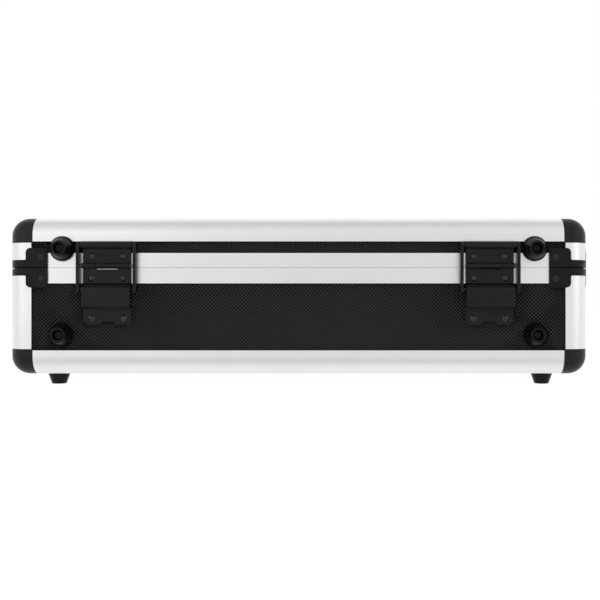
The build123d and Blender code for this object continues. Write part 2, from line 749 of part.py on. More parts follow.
def claw():
    """Claw: a barrel on the claw pin, a strap that rises over the seam and a hook over the strike's lip."""
    t = latch_sheet
    pin_z = -latch_pivot_down - latch_crank
    back = claw_pin_out + t / 2
    front = claw_front_out + t
    bend_z = -latch_pivot_down + lever_boss_radius + t
    strap = sheet_profile([(back, pin_z), (back, bend_z), (front, bend_z + 2 * (front - back)),
                           (front, claw_roof_up + t), (claw_tip_out, claw_roof_up + t),
                           (claw_tip_out, claw_roof_up - claw_tip_length)],
                          t, sheet_bend, -claw_half_width, claw_half_width)
    barrel_half = lever_half_width - t - claw_side_gap
    barrel = rod(claw_barrel_radius, -barrel_half, barrel_half, claw_pin_out, pin_z)
    bore = rod(latch_pin / 2 + pin_fit, -2 * barrel_half, 2 * barrel_half, claw_pin_out, pin_z)
    return strap + barrel - bore


def latch_rods():
    """Claw pin of one latch, and the two stub rivets that the lever turns on."""
    half = lever_half_width
    pin = rod(latch_pin / 2, -half, half, claw_pin_out, -latch_pivot_down - latch_crank)
    end = half + ear_gap + latch_sheet
    pin_radius, pin_base = latch_pin / 2, half - latch_sheet
    stubs = [rod(pin_radius, *sorted((side * pin_base, side * end)), latch_pivot_out, -latch_pivot_down)
             for side in (-1, 1)]
    return pin, stubs


def lock_cylinder():
    """Lock cylinder with a keyway in front and a cam behind the lever, cam pointing down."""
    front = latch_pivot_out + lever_boss_radius + lock_proud
    z = -latch_pivot_down - lock_down
    length = front - lock_cam_out
    plug = Rot(-90, 0, 0) * Cylinder(lock_radius, length, align=(Align.CENTER, Align.CENTER, Align.MIN))
    plug = fillet(plug.edges().group_by(Axis.Y)[-1], lock_proud / 2)
    plug -= Pos(0, front - lock_cam_out, 0) * Box(keyway_width, 4 * lock_proud, keyway_length)
    cam = block(-lock_cam_width / 2, lock_cam_width / 2, 0, lock_cam_thickness, -lock_cam_length, 0)
    cam = fillet([e for e in cam.edges().filter_by(Axis.Y) if e.center().Z < -1], lock_cam_width / 3)
    return Pos(0, lock_cam_out, z) * (plug + cam)


def strike():
    """Strike on the lid: a riveted plate with an upturned lip that the claw hooks over."""
    half, t = latch_width / 2, latch_sheet
    plate = block(-half, half, 0, t, strike_bottom_up, strike_bottom_up + strike_height)
    plate = fillet(plate.edges().filter_by(Axis.Y), t)
    lip = strike_lip_thickness
    wide = strike_half_width
    plate += block(-wide, wide, t / 2, strike_lip_out + lip, strike_shelf_up, strike_shelf_up + lip)
    plate += block(-wide, wide, strike_lip_out, strike_lip_out + lip, strike_shelf_up, strike_lip_top_up)
    for side in (-1, 1):
        plate -= rivet_hole(side * latch_rivet_x, strike_bottom_up + strike_height / 2, 4 * t)
    return plate


def make_latches():
    plate, arm, hook, cylinder, catch = latch_plate(), lever(), claw(), lock_cylinder(), strike()
    pin, stubs = latch_rods()
    head = rivet(latch_sheet)
    rivets, strikes, strike_rivets = [], [], []
    bottom = z_seam - latch_plate_top_down - latch_plate_height
    for name, x in (("left", -latch_x), ("right", latch_x)):
        write(f"latch_plate_{name}", on_front(plate, x, z_seam))
        write(f"latch_lever_{name}", on_front(arm, x, z_seam))
        write(f"latch_claw_{name}", on_front(hook, x, z_seam))
        write(f"claw_pin_{name}", on_front(pin, x, z_seam))
        write(f"lock_cylinder_{name}", on_front(cylinder, x, z_seam))
        strikes.append(on_front(catch, x, z_seam))
        rivets += [on_front(stub, x, z_seam) for stub in stubs]
        for side in (-1, 1):
            rivets.append(on_front(head, x + side * latch_plate_rivet_x, bottom + latch_plate_rivet_up))
            strike_middle = z_seam + strike_bottom_up + strike_height / 2
            strike_rivets.append(on_front(head, x + side * latch_rivet_x, strike_middle))
    write("latch_rivets", rivets)
    write("latch_strikes", strikes)
    write("latch_strike_rivets", strike_rivets)


# ---- carrying handle, drawn with +Y out of the front wall and Z measured from its pivot ----------
def handle():
    """Moulded handle: a rounded grip, two arms that sweep into it and a barrel at the end of each arm."""
    outer_x = handle_pivot_x + handle_arm_width / 2
    inner_x = handle_pivot_x - handle_arm_width / 2
    grip_top = -handle_drop + handle_grip_height
    grip = block(-outer_x, outer_x, handle_wall_gap, handle_front, -handle_drop, grip_top)
    grip = fillet(grip.edges().filter_by(Axis.Y).group_by(Axis.Z)[0], handle_grip_height / 2)
    grip = fillet(grip.edges().filter_by(GeomType.LINE).filter_by(Axis.X), handle_grip_thickness / 3)
    middle = grip_top - handle_grip_height / 2
    arms = Rectangle(2 * outer_x, -middle, align=(Align.CENTER, Align.MAX))
    window = Rectangle(2 * inner_x, 2 * handle_drop, align=(Align.CENTER, Align.MIN))
    window = fillet(window.vertices().group_by(Axis.Y)[0], handle_inner_radius)
    arms -= Pos(0, grip_top) * window
    back = handle_pivot_out - handle_arm_thickness / 2
    result = grip + Pos(0, back + handle_arm_thickness, 0) * Rot(90, 0, 0) * extrude(arms, handle_arm_thickness)
    for side in (-1, 1):
        x0, x1 = sorted((side * inner_x, side * outer_x))
        result += rod(handle_barrel_radius, x0, x1, handle_pivot_out, 0)
    return result - rod(handle_pin / 2 + pin_fit, -2 * outer_x, 2 * outer_x, handle_pivot_out, 0)


def handle_bracket():
    """Bracket: a plate on the front panel with two cheeks round one end of the handle."""
    cheek_inner = handle_arm_width / 2 + bracket_side_gap
    half = cheek_inner + bracket_cheek
    seat = -edge_skin
    plate = block(-half, half, seat, seat + bracket_sheet, -bracket_half_height, bracket_half_height)
    plate = fillet(plate.edges().filter_by(Axis.Y), half / 2)
    outline = Pos(handle_pivot_out, 0) * Circle(handle_barrel_radius)
    reach, height = handle_pivot_out - seat, 2 * handle_barrel_radius
    outline += Pos(seat, 0) * Rectangle(reach, height, align=(Align.MIN, Align.CENTER))
    outline -= Pos(handle_pivot_out, 0) * Circle(handle_pin / 2 + pin_fit)
    for side in (-1, 1):
        plate += side_profile(outline, *sorted((side * cheek_inner, side * half)))
    for z in (-bracket_rivet_up, bracket_rivet_up):
        plate -= rivet_hole(0, z, 4 * bracket_cheek)
    return plate


def make_handle():
    z = z_seam - handle_pivot_down
    write("handle", on_front(handle(), 0, z))
    bracket, head = handle_bracket(), Pos(0, -edge_skin, 0) * rivet(bracket_sheet)
    half = handle_arm_width / 2 + bracket_side_gap + bracket_cheek
    pin = rod(handle_pin / 2, -half, half, handle_pivot_out, 0)
    places = (-handle_pivot_x, handle_pivot_x)
    write("handle_brackets", [on_front(bracket, x, z) for x in places])
    write("handle_pins", [on_front(pin, x, z) for x in places])
    write("handle_bracket_rivets",
          [on_front(head, x, z + side * bracket_rivet_up) for x in places for side in (-1, 1)])


# ---- foam ---------------------------------------------------------------------------------------
def foam_block(z0, z1):
    """Foam filling the case inside its frame between two levels."""
    half_x = case_width / 2 - inner_face - foam_gap
    half_y = case_depth / 2 - inner_face - foam_gap
    return block(-half_x, half_x, body_y - half_y, body_y + half_y, z0, z1)


def pocket_outline():
    """Microphone pocket: a round head and a straight body, head towards +Y, centred on its length."""
    head_y = pocket_length / 2 - pocket_head_radius
    body_end = -pocket_length / 2
    body = Pos(0, (body_end + head_y) / 2) * Rectangle(pocket_body_width, head_y - body_end)
    body = fillet(body.vertices().group_by(Axis.Y)[0], pocket_end_radius)
    return body + Pos(0, head_y) * Circle(pocket_head_radius)


def make_foam():
    base_top = z_seam - base_foam_below_seam
    base = foam_block(z_bottom + inner_face + foam_gap, base_top)
    front = body_y - case_depth / 2 + inner_face + foam_gap
    back = body_y + case_depth / 2 - inner_face - foam_gap
    pocket = extrude(pocket_outline(), -pocket_depth)
    for index in range(pocket_count):
        x = (index - (pocket_count - 1) / 2) * pocket_pitch
        base -= Pos(x, front + pocket_front_margin + pocket_length / 2, base_top) * pocket
    well = extrude(RectangleRounded(well_width, well_length, well_radius), -pocket_depth)
    for index in range(well_count):
        x = (index - (well_count - 1) / 2) * well_pitch
        base -= Pos(x, back - well_back_margin - well_length / 2, base_top) * well
    write("base_foam", base)
    lid_top = z_top - inner_face - foam_gap
    write("lid_foam", foam_block(lid_top - lid_foam_thickness, lid_top))


if __name__ == "__main__":
    os.makedirs("parts", exist_ok=True)
    make_panels()
    make_frame()
    make_clamps()
    make_feet()
    make_hinges()
    make_latches()
    make_handle()
    make_foam()
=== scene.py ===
"""Microphone case: an aluminium-framed flight case with embossed boards and a foam lining.

The rigid parts come from the CAD frame and keep their places. This add-on gives them their
finishes, replaces the plain boards with embossed ones and the foam blocks with soft ones, and sets
the stage, the lamps and the camera. Everything is in metres, +Z up, front at -Y, hinges at +Y.
"""

import functools
import math

import bmesh
import bpy
from bpy.props import FloatProperty, FloatVectorProperty, IntProperty, PointerProperty
from mathutils import Matrix, Vector, noise


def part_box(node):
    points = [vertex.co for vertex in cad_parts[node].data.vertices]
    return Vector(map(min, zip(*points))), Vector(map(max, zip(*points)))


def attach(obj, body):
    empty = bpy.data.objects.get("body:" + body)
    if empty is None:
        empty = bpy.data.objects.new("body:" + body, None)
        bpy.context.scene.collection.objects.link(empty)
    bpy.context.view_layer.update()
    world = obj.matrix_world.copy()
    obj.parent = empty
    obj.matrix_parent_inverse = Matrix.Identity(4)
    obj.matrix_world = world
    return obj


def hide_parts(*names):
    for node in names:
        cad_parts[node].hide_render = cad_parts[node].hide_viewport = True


bl_info = {
    "name": "Microphone Case",
    "version": (1, 0, 0),
    "blender": (4, 5, 0),
    "location": "View3D > Sidebar > Microphone Case",
    "description": "Builds the looks of an aluminium-framed microphone case round its CAD frame",
    "category": "Object",
}

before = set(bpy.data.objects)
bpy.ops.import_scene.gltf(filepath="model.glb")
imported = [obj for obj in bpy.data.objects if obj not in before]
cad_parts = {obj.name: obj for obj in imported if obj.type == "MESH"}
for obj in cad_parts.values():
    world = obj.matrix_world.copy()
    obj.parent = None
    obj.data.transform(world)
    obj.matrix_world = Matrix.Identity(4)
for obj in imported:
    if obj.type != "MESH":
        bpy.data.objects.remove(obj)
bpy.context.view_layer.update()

AXIS_X, AXIS_Y, AXIS_Z = Vector((1, 0, 0)), Vector((0, 1, 0)), Vector((0, 0, 1))
# across, up and outward directions of each face of the case
FACINGS = {
    "front": (AXIS_X, AXIS_Z, -AXIS_Y),
    "back": (-AXIS_X, AXIS_Z, AXIS_Y),
    "right": (AXIS_Y, AXIS_Z, AXIS_X),
    "left": (-AXIS_Y, AXIS_Z, -AXIS_X),
    "top": (AXIS_X, AXIS_Y, AXIS_Z),
    "bottom": (AXIS_X, -AXIS_Y, -AXIS_Z),
}
BOARD_THICKNESS = (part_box("base_bottom_panel")[1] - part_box("base_bottom_panel")[0]).z
# the part of each texture's range that a mask spreads over 0 to 1
GRAIN_SPAN, MARK_SPAN, CELL_SPAN = (0.35, 0.65), (0.42, 0.72), (0.28, 0.02)
# boards: heights on a diamond between which its polish fades in, and how rough the polish is
TIP_FADE, TIP_ROUGHNESS = (0.15, 0.55), 0.22
# painted shade in the gaps, black laid on the bare metal where shade falls: how far a clamp reaches
# in from the case's corner, half the shaded height between two clamps, half the size of the slot
# under a hinge's knuckles, and how far each slot goes down
CLAMP_REACH, CLAMP_GAP_SHADE, SLOT_SHADE = 0.03495, 0.0009, 0.003
SLOT_FLOORS = {"hinge_base_plate_right": 0.00095, "hinge_base_plate_left": 0.0022}
# foam: swellings of the insert to the metre, and faces of the lid pad to one bump
SWELLS, FACES_PER_BUMP = 45, 10
# camera: how far the view is moved across and up, as shares of its width
LENS_SHIFT = (-35 / 600, 5 / 600)
# lamps: name, place, width and height, and the setting that holds the power
LAMP_AIM = Vector((0, 0, 0.06))
LAMPS = (
    ("Key", (0.0, -1.2, 1.6), (2.4, 1.2), "key_power"),
    ("Fill Left", (1.1, 1.5, 0.5), (1.6, 1.4), "fill_left"),
    ("Fill Right", (-1.5, 1.3, 0.6), (0.9, 1.2), "fill_right"),
)
# sky: how straight up, or how straight from behind, a ray points where the dips start
ROOF_DIP_START, LENS_DIP_START = 0.75, 0.93
# floor: start, end and share of plain white at each; outwards from the case as the camera sees it,
# and in reflections from under the back edge and from behind the case; the white under the back
# edge is a painted reflection, plain white where the floor lies in the case's shadow
FLOOR_RADIUS = 8.0
WHITE_SEEN = (0.3, 1.2, 0.94, 1.0)
PAINTED_WHITE_UNDER = (0.172, 0.2, 1.0, 0.18)
WHITE_BEHIND = (0.215, 0.3, 0.0, 0.32)


# ---- settings ---------------------------------------------------------------------------------
class CaseStageSettings(bpy.types.PropertyGroup):
    """Camera, lamps and floor."""

    lens: FloatProperty(
        name="Lens", description="Focal length of the camera", default=54.0, unit="CAMERA"
    )
    distance: FloatProperty(
        name="Distance", description="From the back face to the camera", default=0.741,
        unit="LENGTH",
    )
    camera_side: FloatProperty(
        name="Side", description="How far the camera stands to the side", default=-0.0301,
        unit="LENGTH",
    )
    camera_height: FloatProperty(
        name="Height", description="Height of the camera over the floor", default=0.068,
        unit="LENGTH",
    )
    key_power: FloatProperty(
        name="Key", description="Power of the overhead lamp", default=1.5, unit="POWER"
    )
    fill_left: FloatProperty(
        name="Fill left", description="Power of the lamp at +X", default=2.8, unit="POWER"
    )
    fill_right: FloatProperty(
        name="Fill right", description="Power of the lamp at -X", default=2.0, unit="POWER"
    )
    sky_back: FloatProperty(
        name="Sky back", description="Sky strength on the hinge side", default=0.83
    )
    sky_front: FloatProperty(
        name="Sky front", description="Sky strength on the latch side", default=0.95
    )
    roof_dip: FloatProperty(
        name="Roof dip", description="How much darker it is straight up", default=0.3
    )
    lens_dip: FloatProperty(
        name="Lens dip", description="How much darker it is round the lens", default=0.22
    )
    floor_colour: FloatVectorProperty(
        name="Floor", description="Colour of the floor", subtype="COLOR", default=(0.9, 0.9, 0.9)
    )


class CaseFinishSettings(bpy.types.PropertyGroup):
    """Colours of the case's finishes."""

    aluminium: FloatVectorProperty(
        name="Aluminium", description="Clear anodised frame", subtype="COLOR",
        default=(0.87, 0.87, 0.86),
    )
    laminate: FloatVectorProperty(
        name="Laminate", description="Embossed boards", subtype="COLOR",
        default=(0.0056, 0.0056, 0.0058),
    )
    plastic: FloatVectorProperty(
        name="Corners", description="Moulded ball corners", subtype="COLOR",
        default=(0.006, 0.006, 0.006),
    )
    hardware: FloatVectorProperty(
        name="Hardware", description="Coated clamps, hinges and latches", subtype="COLOR",
        default=(0.005, 0.005, 0.005),
    )
    rubber: FloatVectorProperty(
        name="Feet", description="Rubber feet", subtype="COLOR", default=(0.003, 0.003, 0.003)
    )
    steel: FloatVectorProperty(
        name="Pins", description="Bare pins", subtype="COLOR", default=(0.04, 0.04, 0.04)
    )
    chrome: FloatVectorProperty(
        name="Locks", description="Plated lock cylinders", subtype="COLOR",
        default=(0.75, 0.75, 0.76),
    )
    foam: FloatVectorProperty(
        name="Foam", description="Foam lining", subtype="COLOR", default=(0.035, 0.035, 0.038)
    )
    edge_round: FloatProperty(
        name="Edge", description="Rounding of the sheet metal's edges", default=0.00025,
        unit="LENGTH",
    )


class CaseBoardSettings(bpy.types.PropertyGroup):
    """Embossing of the boards."""

    diamond_side: FloatProperty(
        name="Diamond", description="Side of one raised diamond", default=0.0022, unit="LENGTH",
        min=0.001,
    )
    diamond_height: FloatProperty(
        name="Height", description="Height of one raised diamond", default=0.0008, unit="LENGTH"
    )


class CaseFoamSettings(bpy.types.PropertyGroup):
    """Shape of the foam lining."""

    skin_size: FloatProperty(
        name="Skin", description="Size of the faces of the insert", default=0.003, unit="LENGTH",
        min=0.002,
    )
    lip_steps: IntProperty(
        name="Lip", description="How far the cut edges are softened", default=5, min=1
    )
    swell: FloatProperty(
        name="Swell", description="Unevenness of the foam's surface", default=0.0004, unit="LENGTH"
    )
    bump_pitch: FloatProperty(
        name="Bump pitch", description="Distance between bumps of the lid pad", default=0.0386,
        unit="LENGTH",
    )
    bump_depth: FloatProperty(
        name="Bump depth", description="Height of the lid pad's bumps", default=0.015,
        unit="LENGTH",
    )


# ---- shader nodes -----------------------------------------------------------------------------
def fill_in(tree, node, values):
    """Give a node's inputs their values in order, and link those that other nodes put out."""
    for socket, value in zip(node.inputs, values):
        if isinstance(value, bpy.types.NodeSocket):
            tree.links.new(value, socket)
        else:
            socket.default_value = value


def maths(tree, operation, *values, clamp=False):
    """Result of one step of maths on numbers."""
    node = tree.nodes.new("ShaderNodeMath")
    node.operation, node.use_clamp = operation, clamp
    fill_in(tree, node, values)
    return node.outputs["Value"]


def vector_maths(tree, operation, *values):
    """Result of one step of maths on vectors, which is a number for a length."""
    node = tree.nodes.new("ShaderNodeVectorMath")
    node.operation = operation
    fill_in(tree, node, values)
    return node.outputs["Value" if operation == "LENGTH" else "Vector"]


def joined(tree, operation, values):
    """Several numbers brought together by one operation."""
    return functools.reduce(lambda total, value: maths(tree, operation, total, value), values)


def parted(tree, vector):
    """The X, Y and Z of a vector."""
    node = tree.nodes.new("ShaderNodeSeparateXYZ")
    tree.links.new(vector, node.inputs["Vector"])
    return node.outputs


def ranged(tree, value, low, high, to_low=0.0, to_high=1.0):
    """Map a number from one range to another."""
    node = tree.nodes.new("ShaderNodeMapRange")
    limits = {"From Min": low, "From Max": high, "To Min": to_low, "To Max": to_high}
    for name, number in limits.items():
        node.inputs[name].default_value = number
    tree.links.new(value, node.inputs["Value"])
    return node.outputs["Result"]


def inside_box(tree, vector, middle, reach):
    """Mask of the points that lie inside a box round a middle."""
    offset = vector_maths(tree, "ABSOLUTE", vector_maths(tree, "SUBTRACT", vector, middle))
    parts = parted(tree, offset)
    inside = [maths(tree, "LESS_THAN", parts[axis], limit) for axis, limit in zip("XYZ", reach)]
    return joined(tree, "MULTIPLY", inside)


def blended(tree, mask, colour, other):
    """A colour that gives way to another where the mask is 1."""
    mix = tree.nodes.new("ShaderNodeMix")
    mix.data_type = "RGBA"
    for name, value in (("Factor", mask), ("A", colour), ("B", other)):
        tree.links.new(value, mix.inputs[name])
    return mix.outputs["Result"]


def place_on(tree):
    """Where a point lies on its piece."""
    return tree.nodes.new("ShaderNodeTexCoord").outputs["Object"]


def effect(tree, group, place, values):
    """A shared effect placed in a material with its own values."""
    node = tree.nodes.new("ShaderNodeGroup")
    node.node_tree = group
    tree.links.new(place, node.inputs["Vector"])
    for name, value in values.items():
        node.inputs[name].default_value = value
    return node


# ---- shared effects ---------------------------------------------------------------------------
def new_group(name, inputs, outputs):
    """An empty shader group with named sockets, and its two end nodes."""
    group = bpy.data.node_groups.new(name, "ShaderNodeTree")
    for label, kind, default in inputs:
        socket = group.interface.new_socket(label, in_out="INPUT", socket_type=kind)
        if default is not None:
            socket.default_value = default
    for label, kind in outputs:
        group.interface.new_socket(label, in_out="OUTPUT", socket_type=kind)
    return group, group.nodes.new("NodeGroupInput"), group.nodes.new("NodeGroupOutput")


def surface_grain():
    """Fine grain of a moulded, coated or drawn surface; Stretch draws it out along an axis."""
    if "Surface Grain" in bpy.data.node_groups:
        return bpy.data.node_groups["Surface Grain"]
    group, given, result = new_group(
        "Surface Grain",
        [("Vector", "NodeSocketVector", None),
         ("Stretch", "NodeSocketVector", (1000.0, 1000.0, 1000.0)),
         ("Detail", "NodeSocketFloat", 2.0)],
        [("Height", "NodeSocketFloat"), ("Mask", "NodeSocketFloat")],
    )
    texture = group.nodes.new("ShaderNodeTexNoise")
    texture.inputs["Scale"].default_value = 1.0
    drawn_out = vector_maths(group, "MULTIPLY", given.outputs["Vector"], given.outputs["Stretch"])
    group.links.new(drawn_out, texture.inputs["Vector"])
    group.links.new(given.outputs["Detail"], texture.inputs["Detail"])
    group.links.new(texture.outputs["Fac"], result.inputs["Height"])
    group.links.new(ranged(group, texture.outputs["Fac"], *GRAIN_SPAN), result.inputs["Mask"])
    return group


def handling_marks():
    """Soft uneven patches, such as faint rubbing and dust, that shift a finish's colour."""
    if "Handling Marks" in bpy.data.node_groups:
        return bpy.data.node_groups["Handling Marks"]
    group, given, result = new_group(
        "Handling Marks",
        [("Vector", "NodeSocketVector", None),
         ("Color", "NodeSocketColor", (0.5, 0.5, 0.5, 1.0)),
         ("Marked Color", "NodeSocketColor", (0.6, 0.6, 0.6, 1.0)),
         ("Scale", "NodeSocketFloat", 30.0)],
        [("Color", "NodeSocketColor"), ("Mask", "NodeSocketFloat")],
    )
    texture = group.nodes.new("ShaderNodeTexNoise")
    texture.inputs["Detail"].default_value = 5.0
    texture.inputs["Roughness"].default_value = 0.6
    group.links.new(given.outputs["Vector"], texture.inputs["Vector"])
    group.links.new(given.outputs["Scale"], texture.inputs["Scale"])
    mask = ranged(group, texture.outputs["Fac"], *MARK_SPAN)
    marked = blended(group, mask, given.outputs["Color"], given.outputs["Marked Color"])
    group.links.new(marked, result.inputs["Color"])
    group.links.new(mask, result.inputs["Mask"])
    return group


def painted_gap_shade():
    """Painted shade: black laid on the bare metal in the narrow gaps between the clamps and under
    the hinge knuckles, where shade falls.
    """
    if "Gap Shade" in bpy.data.node_groups:
        return bpy.data.node_groups["Gap Shade"]
    group, given, result = new_group(
        "Gap Shade",
        [("Vector", "NodeSocketVector", None),
         ("Color", "NodeSocketColor", (0.8, 0.8, 0.8, 1.0)),
         ("Gap Color", "NodeSocketColor", (0.003, 0.003, 0.003, 1.0))],
        [("Color", "NodeSocketColor")],
    )
    low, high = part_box("base_corner_clamps")
    seam = (high.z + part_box("lid_corner_clamps")[0].z) / 2
    middle, corner = (low + high) / 2, (high - low) / 2
    middle.z, corner.z = seam, 0
    from_middle = vector_maths(group, "SUBTRACT", given.outputs["Vector"], middle)
    folded = vector_maths(group, "ABSOLUTE", from_middle)
    masks = [inside_box(group, folded, corner, (CLAMP_REACH, CLAMP_REACH, CLAMP_GAP_SHADE))]
    for node, floor in SLOT_FLOORS.items():
        low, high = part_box(node)
        slot = ((low.x + high.x) / 2, low.y, seam - floor + SLOT_SHADE)
        reach = ((high.x - low.x) / 2, SLOT_SHADE, SLOT_SHADE)
        masks.append(inside_box(group, given.outputs["Vector"], slot, reach))
    # painted shade: the metal turns black inside the gap and slot boxes
    shaded = blended(
        group, joined(group, "MAXIMUM", masks), given.outputs["Color"], given.outputs["Gap Color"]
    )
    group.links.new(shaded, result.inputs["Color"])
    return group


def open_cells():
    """Open cells of cut foam: pits between thin struts."""
    if "Open Cells" in bpy.data.node_groups:
        return bpy.data.node_groups["Open Cells"]
    group, given, result = new_group(
        "Open Cells",
        [("Vector", "NodeSocketVector", None), ("Scale", "NodeSocketFloat", 900.0)],
        [("Height", "NodeSocketFloat"), ("Mask", "NodeSocketFloat")],
    )
    cells = group.nodes.new("ShaderNodeTexVoronoi")
    cells.feature = "DISTANCE_TO_EDGE"
    group.links.new(given.outputs["Vector"], cells.inputs["Vector"])
    group.links.new(given.outputs["Scale"], cells.inputs["Scale"])
    pit = ranged(group, cells.outputs["Distance"], *CELL_SPAN)
    group.links.new(pit, result.inputs["Height"])
    group.links.new(pit, result.inputs["Mask"])
    return group


# ---- finishes ---------------------------------------------------------------------------------
def lighter(colour, amount):
    """A colour moved towards white by an amount from 0 to 1."""
    return tuple(c + (1 - c) * amount for c in colour)


def dimmed(colour, share):
    """A colour of which only a share is left."""
    return tuple(c * share for c in colour)


def finish(name, colour, marked, roughness, height, grain=None, metallic=0.0, specular=0.5,
           marks=30.0, detail=2.0, sheen=0.0, cells=None):
    """A procedural finish: marked colour, uneven roughness, and a fine grain or cells in relief.

    Marks, grain and cells are given as how many there are to the metre, and height is the relief's.
    """
    material = bpy.data.materials.new(name)
    material.use_nodes = True
    tree = material.node_tree
    shader = tree.nodes["Principled BSDF"]
    place = place_on(tree)
    spots = effect(tree, handling_marks(), place,
                   {"Color": (*colour, 1), "Marked Color": (*marked, 1), "Scale": marks})
    if cells:
        relief = effect(tree, open_cells(), place, {"Scale": cells})
    else:
        relief = effect(tree, surface_grain(), place, {"Stretch": grain, "Detail": detail})
    masks = maths(tree, "ADD", relief.outputs["Mask"], spots.outputs["Mask"])
    rough = ranged(tree, masks, 0.0, 2.0, *roughness)
    bump = tree.nodes.new("ShaderNodeBump")
    bump.inputs["Distance"].default_value = height
    tree.links.new(relief.outputs["Height"], bump.inputs["Height"])
    tree.links.new(spots.outputs["Color"], shader.inputs["Base Color"])
    tree.links.new(rough, shader.inputs["Roughness"])
    tree.links.new(bump.outputs["Normal"], shader.inputs["Normal"])
    shader.inputs["Metallic"].default_value = metallic
    shader.inputs["Specular IOR Level"].default_value = specular
    shader.inputs["Sheen Weight"].default_value = sheen
    return material


def starting(*beginnings):
    """CAD nodes whose names start with one of the beginnings."""
    return [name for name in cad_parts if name.startswith(beginnings)]


def paint(nodes, material):
    """Give CAD nodes a finish."""
    for name in nodes:
        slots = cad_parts[name].data.materials
        slots.clear()
        slots.append(material)


def soften(nodes, width):
    """Round the sharp edges of CAD nodes a little."""
    for name in nodes:
        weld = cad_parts[name].modifiers.new("Joined faces", "WELD")
        weld.merge_threshold = 0.000002
        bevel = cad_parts[name].modifiers.new("Soft edges", "BEVEL")
        bevel.width = width
        bevel.segments = 2
        bevel.limit_method = "ANGLE"
        bevel.angle_limit = math.radians(40)
        bevel.harden_normals = True


# ---- pieces -----------------------------------------------------------------------------------
def add_piece(name, bm, material, body, slot, *nodes):
    """Make a bmesh a piece that rides on a body and stands for CAD nodes."""
    mesh = bpy.data.meshes.new(name)
    bm.to_mesh(mesh)
    bm.free()
    mesh.materials.append(material)
    piece = bpy.data.objects.new(name, mesh)
    bpy.context.scene.collection.objects.link(piece)
    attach(piece, body)
    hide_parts(*nodes)
    return piece


def close_below(bm, rim, level):
    """Draw a sheet's rim down to a level and close it there with one face."""
    walls = bmesh.ops.extrude_edge_only(bm, edges=rim)["geom"]
    for item in walls:
        if isinstance(item, bmesh.types.BMVert):
            item.co.z = level
    bottom = [item for item in walls if isinstance(item, bmesh.types.BMEdge)]
    bmesh.ops.contextual_create(bm, geom=bottom)


def embossed_board(low, high, facing, settings):
    """Mesh of one board between two corners, with raised diamonds on its outer face."""
    across, up, out = FACINGS[facing]
    span = high - low
    width, height, thickness = (abs(span.dot(way)) for way in (across, up, out))
    side, rise = settings.diamond_side, settings.diamond_height
    count = math.ceil((width + height) / math.sqrt(2) / side) + 1
    bm = bmesh.new()
    raised = bm.verts.layers.float.new("Raised")
    bmesh.ops.create_grid(bm, x_segments=count, y_segments=count, size=count * side / 2)
    eighth = Matrix.Rotation(math.radians(45), 3, "Z")
    bmesh.ops.rotate(bm, verts=bm.verts, cent=(0, 0, 0), matrix=eighth)
    for way, reach in ((AXIS_X, width), (-AXIS_X, width), (AXIS_Y, height), (-AXIS_Y, height)):
        bmesh.ops.bisect_plane(
            bm, geom=bm.verts[:] + bm.edges[:] + bm.faces[:], dist=1e-7,
            plane_co=way * reach / 2, plane_no=way, clear_outer=True,
        )
    rim = [edge for edge in bm.edges if edge.is_boundary]
    tips = bmesh.ops.poke(
        bm, faces=bm.faces[:], offset=rise, center_mode="MEAN_WEIGHTED", use_relative_offset=False
    )["verts"]
    for tip in tips:
        tip[raised] = 1.0
    close_below(bm, rim, rise - thickness)
    bmesh.ops.translate(bm, verts=bm.verts, vec=(0, 0, thickness / 2 - rise))
    turn = Matrix((across, up, out)).transposed().to_4x4()
    bmesh.ops.transform(bm, matrix=Matrix.Translation((low + high) / 2) @ turn, verts=bm.verts)
    bmesh.ops.recalc_face_normals(bm, faces=bm.faces)
    mesh = bpy.data.meshes.new("board")
    bm.to_mesh(mesh)
    bm.free()
    return mesh


def boards_for(node, facings, settings):
    """The boards of one CAD node, each against its own end of the node's box."""
    low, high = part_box(node)
    bm = bmesh.new()
    for facing in facings:
        out = FACINGS[facing][2]
        near, far = low.copy(), high.copy()
        for axis in range(3):
            if out[axis] > 0:
                near[axis] = far[axis] - BOARD_THICKNESS
            elif out[axis] < 0:
                far[axis] = near[axis] + BOARD_THICKNESS
        mesh = embossed_board(near, far, facing, settings)
        bm.from_mesh(mesh)
        bpy.data.meshes.remove(mesh)
    return bm


def remeshed(node, size, steps):
    """A CAD node's shape in even faces with its sharp edges softened."""
    bm = bmesh.new()
    bm.from_mesh(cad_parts[node].data)
    bmesh.ops.remove_doubles(bm, verts=bm.verts, dist=1e-6)
    mesh = bpy.data.meshes.new("source")
    bm.to_mesh(mesh)
    bm.free()
    source = bpy.data.objects.new("source", mesh)
    bpy.context.scene.collection.objects.link(source)
    even = source.modifiers.new("Even skin", "REMESH")
    even.mode = "VOXEL"
    even.voxel_size = size
    soft = source.modifiers.new("Soft edges", "SMOOTH")
    soft.factor = 0.5
    soft.iterations = steps
    evaluated = source.evaluated_get(bpy.context.evaluated_depsgraph_get())
    bm = bmesh.new()
    bm.from_mesh(evaluated.to_mesh())
    evaluated.to_mesh_clear()
    bpy.data.objects.remove(source)
    bpy.data.meshes.remove(mesh)
    return bm


def keep_inside(bm, low, high):
    """Hold every vertex inside a box."""
    for vertex in bm.verts:
        for axis in range(3):
            vertex.co[axis] = min(max(vertex.co[axis], low[axis]), high[axis])


